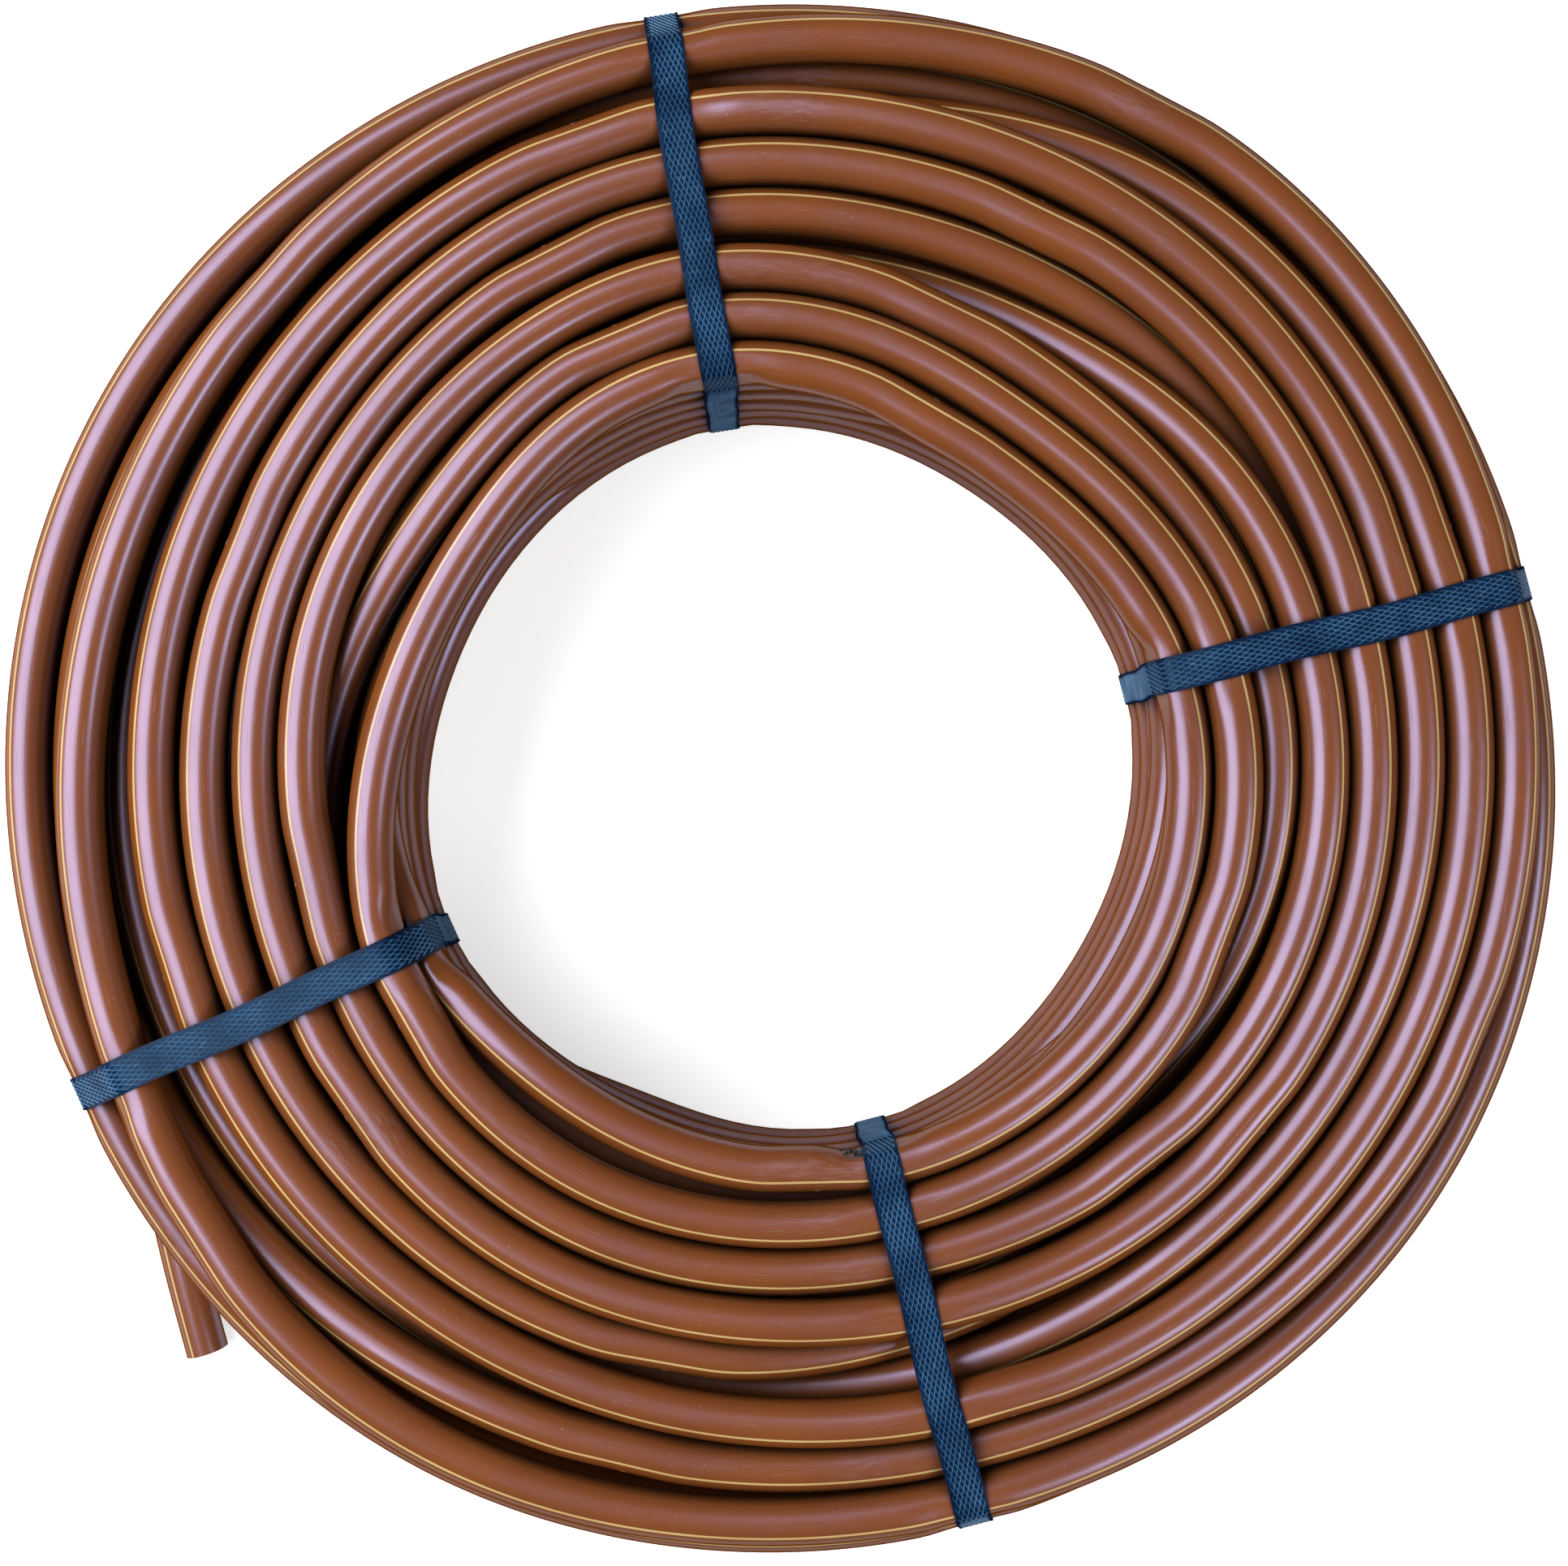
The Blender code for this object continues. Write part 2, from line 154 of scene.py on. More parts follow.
def node_centre(node):
    mesh = welded(node)
    centre = sum((vert.co for vert in mesh.verts), Vector()) / len(mesh.verts)
    mesh.free()
    return centre


def ring_centres(node):
    """The centres of the rings that a CAD length of hose is made of, walked from one end to the other."""
    mesh = welded(node)
    ring_of = {}
    centres = {}
    for vert in mesh.verts:
        if vert in ring_of:
            continue
        members = []
        waiting = [vert]
        ring_of[vert] = vert.index
        while waiting:
            here = waiting.pop()
            members.append(here.co)
            for edge in here.link_edges:
                there = edge.other_vert(here)
                if edge.calc_length() < RING_EDGE and there not in ring_of:
                    ring_of[there] = vert.index
                    waiting.append(there)
        centre = sum(members, Vector()) / len(members)
        if max((member - centre).length for member in members) > OUTER_RING:
            centres[vert.index] = centre
    links = {ring: set() for ring in centres}
    for edge in mesh.edges:
        near, far = (ring_of[vert] for vert in edge.verts)
        if near != far and near in links and far in links:
            links[near].add(far)
            links[far].add(near)
    mesh.free()
    walk = [next(ring for ring, others in links.items() if len(others) == 1)]
    while len(walk) < len(centres):
        walk.append(next(ring for ring in links[walk[-1]] if ring not in walk[-2:]))
    return [centres[ring] for ring in walk]


def hose_rings():
    """All ring centres of the hose in order, and the ring at which each CAD length starts."""
    rings = ring_centres(LENGTHS[0])
    following = ring_centres(LENGTHS[1])
    if min((rings[0] - end).length for end in (following[0], following[-1])) < JOIN_GAP:
        rings.reverse()
    starts = {LENGTHS[0]: 0}
    for node in LENGTHS[1:]:
        more = ring_centres(node)
        if (more[-1] - rings[-1]).length < (more[0] - rings[-1]).length:
            more.reverse()
        starts[node] = len(rings) - 1
        if (more[0] - rings[-1]).length < JOIN_GAP:
            rings[-1] = (rings[-1] + more.pop(0)) / 2.0
        rings.extend(more)
    return np.array(rings), starts


# ---------------------------------------------------------------- the centreline

def spline(knots, points, wanted):
    """Natural cubic curve through points at knots, read at the wanted places."""
    count = len(knots)
    step = np.diff(knots)
    matrix = np.zeros((count, count))
    right = np.zeros((count, 3))
    matrix[0, 0] = 1.0
    matrix[-1, -1] = 1.0
    inner = np.arange(1, count - 1)
    matrix[inner, inner - 1] = step[:-1]
    matrix[inner, inner] = 2.0 * (step[:-1] + step[1:])
    matrix[inner, inner + 1] = step[1:]
    slope = np.diff(points, axis=0) / step[:, None]
    right[1:-1] = 6.0 * (slope[1:] - slope[:-1])
    bend = np.linalg.solve(matrix, right)
    place = np.clip(np.searchsorted(knots, wanted, side="right") - 1, 0, count - 2)
    width = step[place][:, None]
    after = (wanted - knots[place])[:, None] / width
    before = 1.0 - after
    return (before * points[place] + after * points[place + 1]
            + ((before ** 3 - before) * bend[place] + (after ** 3 - after) * bend[place + 1])
            * width ** 2 / 6.0)


class Centreline:
    """The hose's smooth centreline as samples, with the distance travelled and the directions at each."""

    def __init__(self):
        rings, starts = hose_rings()
        knots = np.concatenate([[0.0], np.cumsum(np.linalg.norm(np.diff(rings, axis=0), axis=1))])
        pivot = Vector(frame["joints"][0]["pos_m"])
        free_start = float(knots[starts["hose_tail"]]) - FREE_END_LEAD + (
            pivot - Vector(rings[starts["hose_tail"]])).length
        bounds = [float(knots[starts[node]]) for node in LENGTHS[:-1]] + [free_start, float(knots[-1])]
        wanted = []
        self.first = {}
        for node, start, end in zip(LENGTHS, bounds, bounds[1:]):
            step = COARSE_STEP if node.startswith("hose_layer") else FINE_STEP
            count = max(2, round((end - start) / step))
            self.first[node] = len(wanted)
            wanted.extend(start + (end - start) * n / count for n in range(count))
        wanted.append(bounds[-1])
        self.points = spline(knots, rings, np.array(wanted))
        self.measure()

    def measure(self):
        moves = np.diff(self.points, axis=0)
        self.travel = np.concatenate([[0.0], np.cumsum(np.linalg.norm(moves, axis=1))])
        heading = np.gradient(self.points, self.travel, axis=0)
        heading /= np.linalg.norm(heading, axis=1)[:, None]
        side = np.cross(heading, np.array(UP))
        side /= np.linalg.norm(side, axis=1)[:, None]
        self.heading = heading
        self.side = side
        self.rise = np.cross(side, heading)

    def at(self, travel):
        return np.array([np.interp(travel, self.travel, self.points[:, axis]) for axis in range(3)])

    def stiffen(self, places):
        """Makes the tube run straight where an emitter fills it."""
        starts = [self.at(place - STIFF_REACH) for place in places]
        ends = [self.at(place + STIFF_REACH) for place in places]
        for place, start, end in zip(places, starts, ends):
            share = (self.travel - place + STIFF_REACH) / (2.0 * STIFF_REACH)
            inside = (share > 0.0) & (share < 1.0)
            self.points[inside] = start + (end - start) * share[inside][:, None]
        soft = self.points.copy()
        soft[1:-1] = 0.25 * self.points[:-2] + 0.5 * self.points[1:-1] + 0.25 * self.points[2:]
        for place in places:
            near = np.abs(np.abs(self.travel - place) - STIFF_REACH) < 2.0 * FINE_STEP
            self.points[near] = soft[near]
        self.measure()

    def span(self, node):
        """The samples of one CAD length, ends included."""
        number = LENGTHS.index(node)
        last = len(self.points) - 1 if number == len(LENGTHS) - 1 else self.first[LENGTHS[number + 1]]
        return slice(self.first[node], last + 1)


def drift(travel):
    """Degrees that the tube has slowly turned about its own axis after some travel."""
    return DRIFT * sum(share * np.sin(travel / reach + phase) for share, reach, phase in DRIFT_WAVES)


def surface_point(line, travel, angle, radius):
    """A point on or near the tube's surface, with the directions along, round and out of it."""
    centre = line.at(travel)
    axes = [np.array([np.interp(travel, line.travel, values[:, axis]) for axis in range(3)])
            for values in (line.heading, line.side, line.rise)]
    turn = math.radians(angle + float(drift(travel)))
    out = math.cos(turn) * axes[1] + math.sin(turn) * axes[2]
    return Vector(centre + out * radius), Vector(axes[0]).normalized(), Vector(out).normalized()


# ---------------------------------------------------------------- meshes

def make_mesh(name, vertices, faces, materials, crease):
    data = bpy.data.meshes.new(name)
    data.from_pydata([tuple(vertex) for vertex in vertices], [], [tuple(face) for face in faces])
    for mat in materials:
        data.materials.append(mat)
    data.shade_smooth()
    data.set_sharp_from_angle(angle=math.radians(crease))
    return data


def make_object(name, data):
    item = bpy.data.objects.new(name, data)
    bpy.context.scene.collection.objects.link(item)
    return item


def slotted_object(name, vertices, faces, materials, slots, crease):
    """A mesh object whose faces each have a material slot."""
    data = make_mesh(name, vertices, faces, materials, crease)
    data.polygons.foreach_set("material_index", np.asarray(slots, dtype=np.int32))
    return make_object(name, data)


def turn_faces_out(item):
    mesh = bmesh.new()
    mesh.from_mesh(item.data)
    bmesh.ops.recalc_face_normals(mesh, faces=mesh.faces)
    mesh.to_mesh(item.data)
    mesh.free()


def pipe_faces(rows, sides):
    """Faces of a pipe: its outer wall, its bore and its two ends, for two walls of points in rows."""
    row = np.arange(rows - 1)[:, None]
    column = np.arange(sides)[None, :]
    after = (column + 1) % sides
    here, right = row * sides + column, row * sides + after
    outer = np.stack([here, here + sides, right + sides, right], axis=-1).reshape(-1, 4)
    bore = outer[:, ::-1] + rows * sides
    start = np.stack([column[0], after[0], after[0] + rows * sides, column[0] + rows * sides], axis=-1)
    end = start[:, ::-1] + (rows - 1) * sides
    return outer, bore, start, end


def section_angles(sides):
    """Angles round the tube from the seam on its underside, with one narrow side for the stripe."""
    half = math.degrees(STRIPE_WIDTH / TUBE_RADIUS) / 2.0
    below = max(LEAST_SIDES_BELOW, round((sides - 1) * (STRIPE_ANGLE - SEAM_ANGLE) / 360.0))
    above = sides - 1 - below
    first = np.linspace(SEAM_ANGLE, STRIPE_ANGLE - half, below + 1)
    second = np.linspace(STRIPE_ANGLE + half, SEAM_ANGLE + 360.0, above + 1)[:-1]
    return np.concatenate([first, second]), below


def tube_piece(name, line, node, sides, fits, materials):
    """One length of tube: outer wall, bore and cut ends, with its stripe as faces of its own."""
    span = line.span(node)
    points, travel = line.points[span], line.travel[span]
    rows = len(points)
    angles, stripe = section_angles(sides)
    turn = np.radians(angles[None, :] + drift(travel)[:, None])
    out = (np.cos(turn)[:, :, None] * line.side[span][:, None, :]
           + np.sin(turn)[:, :, None] * line.rise[span][:, None, :])
    walls = [(points[:, None, :] + out * radius).reshape(-1, 3) for radius in (TUBE_RADIUS, BORE_RADIUS)]
    dent = sum(fit.press(walls[0]) for fit in fits)
    vertices = np.concatenate([wall + dent for wall in walls])
    outer, bore, start, end = pipe_faces(rows, sides)
    faces = np.concatenate([outer, bore, start, end])
    slots = np.zeros(len(faces), dtype=np.int32)
    slots[:len(outer)] = np.tile(np.arange(sides) == stripe, rows - 1)
    item = slotted_object(name, vertices, faces.tolist(), materials, slots, HOSE_CREASE)
    girth = np.radians(np.append(angles, angles[0] + 360.0) - angles[0]) * TUBE_RADIUS
    row = np.repeat(np.arange(rows - 1), sides)
    along = travel[np.tile(np.stack([row, row + 1, row + 1, row], axis=-1), (2, 1))]
    round_it = np.tile(np.stack([girth[:-1], girth[:-1], girth[1:], girth[1:]], axis=-1), (rows - 1, 1))
    round_it = np.concatenate([round_it, round_it[:, ::-1]])
    along[len(outer):] = along[len(outer):, ::-1]
    walls_uv = np.stack([along, round_it], axis=-1).reshape(-1, 2)
    caps_uv = np.zeros((4 * (len(start) + len(end)), 2))
    layer = item.data.uv_layers.new(name="hose")
    layer.data.foreach_set("uv", np.concatenate([walls_uv, caps_uv]).astype(np.float32).ravel())
    return item


# ---------------------------------------------------------------- materials

# How aslant a surface is seen where its gloss starts to fade, and where it is gone
SLANT = (0.35, 0.66)

# Hose and stripe: main, deeper and worn colours
HOSE_BROWNS = ((0.148, 0.044, 0.008, 1.0), (0.121, 0.034, 0.006, 1.0), (0.20, 0.10, 0.06, 1.0))
STRIPE_YELLOWS = ((0.46, 0.335, 0.15, 1.0), (0.37, 0.245, 0.09, 1.0), (0.42, 0.33, 0.18, 1.0))
HOSE_SHEEN = (0.58, 0.60, 1.0, 1.0)
HOSE_IOR = 1.5
HOSE_ROUGHNESS = (0.25, 0.32)
SCUFF_ROUGHNESS = 0.16
# Painted shade: where ambient occlusion finds little open space, in the grooves between turns, the colour
# goes towards near-black and the gloss fades
PAINTED_SHADE_REACH = 14.0 * MM
PAINTED_SHADE_COLOR = (0.006, 0.004, 0.003, 1.0)
PAINTED_SHADE_OPENNESS = (0.25, 0.85)
PAINTED_SHADE_LEAST = 0.12

# Marks on the hose, in cycles a metre along it and round it
STREAK_SCALE = (5.0, 2600.0)
DIE_LINE_SCALE = (1.5, 900.0)
SCUFF_SCALE = (160.0, 900.0)
SCRATCH_SCALE = (45.0, 3800.0)

# Marks in space, in cycles a metre
CLOUD_SCALE = 28.0
PATCH_SCALE = 14.0
SPECK_SCALE = 900.0
RIPPLE_SCALE = 220.0

# How strongly each kind of mark shows in the colour
STREAK_SHARE = 0.35
SCUFF_SHARE = 0.25
SCRATCH_SHARE = 0.22
SPECK_SHARE = 0.6

# How deep each kind of mark is pressed in
LINE_DEPTH = 0.12 * MM
MARK_DEPTH = 0.06 * MM
RIPPLE_DEPTH = 0.3 * MM

# Straps: main, deeper and polished colours and the gloss, for the cells and for the ridges between them
STRAP_CELL = ((0.004, 0.013, 0.038, 1.0), (0.002, 0.007, 0.022, 1.0), (0.010, 0.035, 0.08, 1.0), 0.08)
# The ridges' paler blues are painted glints, so the embossed net shows pale at every angle
STRAP_RIDGE_GLINT = ((0.050, 0.145, 0.27, 1.0), (0.020, 0.068, 0.15, 1.0), (0.16, 0.32, 0.46, 1.0), 1.0)
STRAP_SHEEN = (0.5, 0.72, 1.0, 1.0)
STRAP_ROUGHNESS = (0.16, 0.28)
STRAP_CLOUD_SCALE = 60.0
STRAP_GRAIN_SCALE = 260.0
STRAP_GRAIN_DEPTH = 0.05 * MM
POLISH_SHARE = 0.25

# Emitters, outlet holes and floor
EMITTER_BLACKS = ((0.012, 0.012, 0.013, 1.0), (0.028, 0.027, 0.027, 1.0))
EMITTER_ROUGHNESS = (0.42, 0.6)
EMITTER_CLOUD_SCALE = 300.0
EMITTER_GRAIN_SCALE = 1500.0
EMITTER_GRAIN_DEPTH = 0.05 * MM
# The outlet holes are flat discs in these darks: painted shade standing for the depth of each hole
HOLE_SHADE_DARKS = ((0.008, 0.004, 0.003, 1.0), (0.02, 0.009, 0.005, 1.0))
HOLE_GRAIN_SCALE = 2500.0
FLOOR_WHITES = ((0.78, 0.78, 0.785, 1.0), (0.80, 0.80, 0.80, 1.0))
FLOOR_CLOUD_SCALE = 3.0
FLOOR_GLOW = 0.55


class Nodes:
    """Short helpers for building one node material."""

    def __init__(self, name):
        self.mat = bpy.data.materials.new(name)
        self.mat.use_nodes = True
        self.tree = self.mat.node_tree
        self.shader = self.tree.nodes["Principled BSDF"]

    def add(self, kind, inputs=None, **settings):
        node = self.tree.nodes.new(kind)
        for key, value in settings.items():
            setattr(node, key, value)
        for key, value in (inputs or {}).items():
            self.put(node.inputs[key], value)
        return node

    def put(self, socket, value):
        if isinstance(value, bpy.types.NodeSocket):
            self.tree.links.new(value, socket)
        else:
            socket.default_value = value

    def shade(self, **inputs):
        for key, value in inputs.items():
            self.put(self.shader.inputs[key.replace("_", " ")], value)

    def uv(self, along, across):
        """The hose's own length and girth in metres, scaled each way."""
        source = self.add("ShaderNodeUVMap", uv_map="hose")
        scaled = self.add("ShaderNodeMapping", {"Vector": source.outputs["UV"],
                                                "Scale": (along, across, 1.0)})
        return scaled.outputs["Vector"]

    def place(self):
        return self.add("ShaderNodeTexCoord").outputs["Object"]

    def noise(self, vector, scale, detail=3.0, rough=0.5):
        node = self.add("ShaderNodeTexNoise", {"Vector": vector, "Scale": scale, "Detail": detail,
                                               "Roughness": rough})
        return node.outputs["Fac"]

    def ramp(self, value, low, high, to_low=0.0, to_high=1.0):
        node = self.add("ShaderNodeMapRange", {"Value": value, "From Min": low, "From Max": high,
                                               "To Min": to_low, "To Max": to_high})
        return node.outputs["Result"]

    def math(self, operation, a, b=0.0):
        node = self.add("ShaderNodeMath", operation=operation)
        self.put(node.inputs[0], a)
        self.put(node.inputs[1], b)
        return node.outputs[0]

    def mix(self, share, a, b):
        node = self.add("ShaderNodeMix", data_type="RGBA")
        self.put(node.inputs["Factor"], share)
        self.put(node.inputs["A"], a)
        self.put(node.inputs["B"], b)
        return node.outputs["Result"]

    def matt_aslant(self, gloss):
        """A gloss that fades where the surface is seen at a slant, as fine dust and die marks make it."""
        aslant = self.add("ShaderNodeLayerWeight", {"Blend": 0.5}).outputs["Facing"]
        return self.math("MULTIPLY", gloss, self.ramp(aslant, *SLANT, 1.0, 0.0))

    def bump(self, height, strength, distance, under=None):
        inputs = {"Height": height, "Strength": strength, "Distance": distance}
        if under is not None:
            inputs["Normal"] = under
        return self.add("ShaderNodeBump", inputs).outputs["Normal"]


def hose_material(name, color, deep, worn):
    """Extruded polyethylene: lengthwise die lines and streaks, pale specks, fine scratches and scuffed
    patches, and painted shade that darkens the colour and dulls the gloss in the grooves between turns."""
    n = Nodes(name)
    streaks = n.noise(n.uv(*STREAK_SCALE), 1.0, 2.0)
    lines = n.noise(n.uv(*DIE_LINE_SCALE), 1.0, 1.0)
    clouds = n.noise(n.place(), CLOUD_SCALE, 4.0)
    scuff_edge = n.noise(n.uv(*SCUFF_SCALE), 1.0, 4.0, 0.6)
    patches = n.noise(n.place(), PATCH_SCALE, 2.0)
    scuffs = n.math("MULTIPLY", n.ramp(patches, 0.60, 0.72), n.ramp(scuff_edge, 0.46, 0.66))
    scratches = n.ramp(n.noise(n.uv(*SCRATCH_SCALE), 1.0, 1.0), 0.70, 0.76)
    specks = n.ramp(n.noise(n.place(), SPECK_SCALE, 1.0), 0.74, 0.80)
    base = n.mix(n.ramp(clouds, 0.3, 0.7), color, deep)
    base = n.mix(n.math("MULTIPLY", n.ramp(streaks, 0.45, 0.75), STREAK_SHARE), base, deep)
    marks = n.math("MAXIMUM", n.math("MULTIPLY", scuffs, SCUFF_SHARE),
                   n.math("MULTIPLY", scratches, SCRATCH_SHARE))
    base = n.mix(marks, base, worn)
    base = n.mix(n.math("MULTIPLY", specks, SPECK_SHARE), base, worn)
    # Painted shade: the colour darkens towards near-black where the ambient occlusion sees little open space,
    # in the grooves between turns
    open_sky = n.add("ShaderNodeAmbientOcclusion", {"Distance": PAINTED_SHADE_REACH}, samples=4).outputs["AO"]
    painted_shade = n.ramp(open_sky, *PAINTED_SHADE_OPENNESS, PAINTED_SHADE_LEAST, 1.0)
    base = n.mix(painted_shade, PAINTED_SHADE_COLOR, base)
    rough = n.math("ADD", n.ramp(clouds, 0.3, 0.7, *HOSE_ROUGHNESS),
                   n.math("MULTIPLY", scuffs, SCUFF_ROUGHNESS))
    height = n.math("ADD", n.math("MULTIPLY", lines, 0.7), n.math("MULTIPLY", streaks, 0.3))
    normal = n.bump(height, 0.35, LINE_DEPTH)
    pits = n.math("SUBTRACT", n.math("MULTIPLY", scratches, -1.0), specks)
    normal = n.bump(pits, 0.4, MARK_DEPTH, normal)
    normal = n.bump(n.noise(n.place(), RIPPLE_SCALE, 2.0), 0.04, RIPPLE_DEPTH, normal)
    n.shade(Base_Color=base, Roughness=rough, Normal=normal)
    n.shade(IOR=HOSE_IOR, Specular_IOR_Level=n.matt_aslant(painted_shade), Specular_Tint=HOSE_SHEEN)
    return n.mat


def strap_material(name, color, deep, polished, gloss):
    """Navy polypropylene, glossy on the ridges of its embossing and duller in the cells between them."""
    n = Nodes(name)
    clouds = n.noise(n.place(), STRAP_CLOUD_SCALE, 3.0)
    fine = n.noise(n.place(), STRAP_GRAIN_SCALE, 3.0)
    base = n.mix(n.ramp(clouds, 0.35, 0.65), deep, color)
    base = n.mix(n.math("MULTIPLY", n.ramp(fine, 0.6, 0.72), POLISH_SHARE), base, polished)
    n.shade(Base_Color=base, Roughness=n.ramp(fine, 0.3, 0.7, *STRAP_ROUGHNESS))
    n.shade(Normal=n.bump(fine, 0.12, STRAP_GRAIN_DEPTH), Specular_IOR_Level=n.matt_aslant(gloss))
    n.shade(Specular_Tint=STRAP_SHEEN)
    return n.mat


def emitter_material():
    n = Nodes("emitter_black")
    grain = n.noise(n.place(), EMITTER_GRAIN_SCALE, 3.0)
    base = n.mix(n.ramp(n.noise(n.place(), EMITTER_CLOUD_SCALE), 0.35, 0.65), *EMITTER_BLACKS)
    n.shade(Base_Color=base, Roughness=n.ramp(grain, 0.3, 0.7, *EMITTER_ROUGHNESS))
    n.shade(Normal=n.bump(grain, 0.3, EMITTER_GRAIN_DEPTH))
    return n.mat


# Painted shade: the dark colour of the flat disc that closes each outlet hole
def hole_material():
    n = Nodes("outlet_painted_shade")
    grain = n.noise(n.place(), HOLE_GRAIN_SCALE, 2.0)
    n.shade(Base_Color=n.mix(grain, *HOLE_SHADE_DARKS), Roughness=0.8)
    return n.mat


def floor_material():
    """White floor that glows a little for the camera only, so that it looks as pale as a lit table."""
    n = Nodes("floor_white")
    n.shade(Base_Color=n.mix(n.noise(n.place(), FLOOR_CLOUD_SCALE), *FLOOR_WHITES))
    n.shade(Roughness=0.75, Specular_IOR_Level=0.2)
    seen = n.add("ShaderNodeLightPath").outputs["Is Camera Ray"]
    n.shade(Emission_Color=(1.0, 1.0, 1.0, 1.0), Emission_Strength=n.math("MULTIPLY", seen, FLOOR_GLOW))
    return n.mat


# ---------------------------------------------------------------- straps

def hull(points):
    """Convex outline of points in a plane, anticlockwise."""
    points = sorted(set(points))
    outline = []
    for ordered in (points, points[::-1]):
        chain = []
        for point in ordered:
            while len(chain) > 1 and ((chain[-1][0] - chain[-2][0]) * (point[1] - chain[-2][1])
                                      - (chain[-1][1] - chain[-2][1]) * (point[0] - chain[-2][0])) <= 0:
                chain.pop()
            chain.append(point)
        outline.extend(chain[:-1])
    return np.array(outline)


def strap_crossings(line, side):
    """Where the hose passes through the half plane of a strap, as distance outwards and height."""
    across = line.points @ np.array(UP.cross(side))
    outwards = line.points @ np.array(side)
    place = np.nonzero((across[:-1] < 0.0) & (across[1:] >= 0.0) & (outwards[:-1] > 0.0))[0]
    share = across[place] / (across[place] - across[place + 1])
    crossing = line.points[place] + (line.points[place + 1] - line.points[place]) * share[:, None]
    return np.stack([crossing @ np.array(side), crossing[:, 2]], axis=-1)


def bite(turn):
    """How far the strap presses into a turn of hose, by the direction round the turn."""
    if math.sin(turn) < UNDERSIDE:
        return 0.0
    if abs(math.cos(turn)) < SIDEWAYS:
        return TOP_BITE
    return INNER_BITE if math.cos(turn) < 0.0 else OUTER_BITE


class StrapFit:
    """One strap's half plane, and the outline that it presses the turns of hose into."""

    def __init__(self, name, line):
        low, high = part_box(name)
        middle = (low + high) / 2.0
        self.side = Vector((middle.x, middle.y, 0.0)).normalized()
        self.along = UP.cross(self.side)
        turns = [2.0 * math.pi * n / CIRCLE_POINTS for n in range(CIRCLE_POINTS)]
        self.corners = hull([(round(x + (TUBE_RADIUS - bite(t)) * math.cos(t), 7),
                              round(y + (TUBE_RADIUS - bite(t)) * math.sin(t), 7))
                             for x, y in strap_crossings(line, self.side) for t in turns])

    def press(self, points):
        """How points of the hose move where this strap squeezes it."""
        across = np.abs(points @ np.array(self.along))
        flat = np.stack([points @ np.array(self.side), points[:, 2]], axis=-1)
        share = np.clip((PRESS_END - across) / (PRESS_END - PRESS_START), 0.0, 1.0)
        share = share * share * (3.0 - 2.0 * share)
        near = np.nonzero((share > 0.0) & (flat[:, 0] > 0.0))[0]
        edge = np.roll(self.corners, -1, axis=0) - self.corners
        normal = np.stack([edge[:, 1], -edge[:, 0]], axis=-1)
        normal /= np.linalg.norm(normal, axis=1)[:, None]
        proud = flat[near] @ normal.T - np.sum(self.corners * normal, axis=1)
        worst = np.argmax(proud, axis=1)
        depth = np.clip(proud[np.arange(len(near)), worst], 0.0, PRESS_LIMIT) * share[near]
        move = np.zeros_like(points)
        move[near] = -depth[:, None] * (normal[worst] @ np.array([self.side, UP]))
        return move

    def steps(self):
        """Even steps round the outline: places and outward directions in the strap's plane."""
        closed = np.vstack([self.corners, self.corners[:1]])
        travel = np.concatenate([[0.0], np.cumsum(np.linalg.norm(np.diff(closed, axis=0), axis=1))])
        count = 2 * round(travel[-1] / CELL_LENGTH)
        wanted = np.arange(count) * travel[-1] / count
        place = np.stack([np.interp(wanted, travel, closed[:, axis]) for axis in range(2)], axis=-1)
        ahead = np.roll(place, -1, axis=0) - np.roll(place, 1, axis=0)
        out = np.stack([ahead[:, 1], -ahead[:, 0]], axis=-1)
        out /= np.linalg.norm(out, axis=1)[:, None]
        return place + out * STRAP_LIFT, out


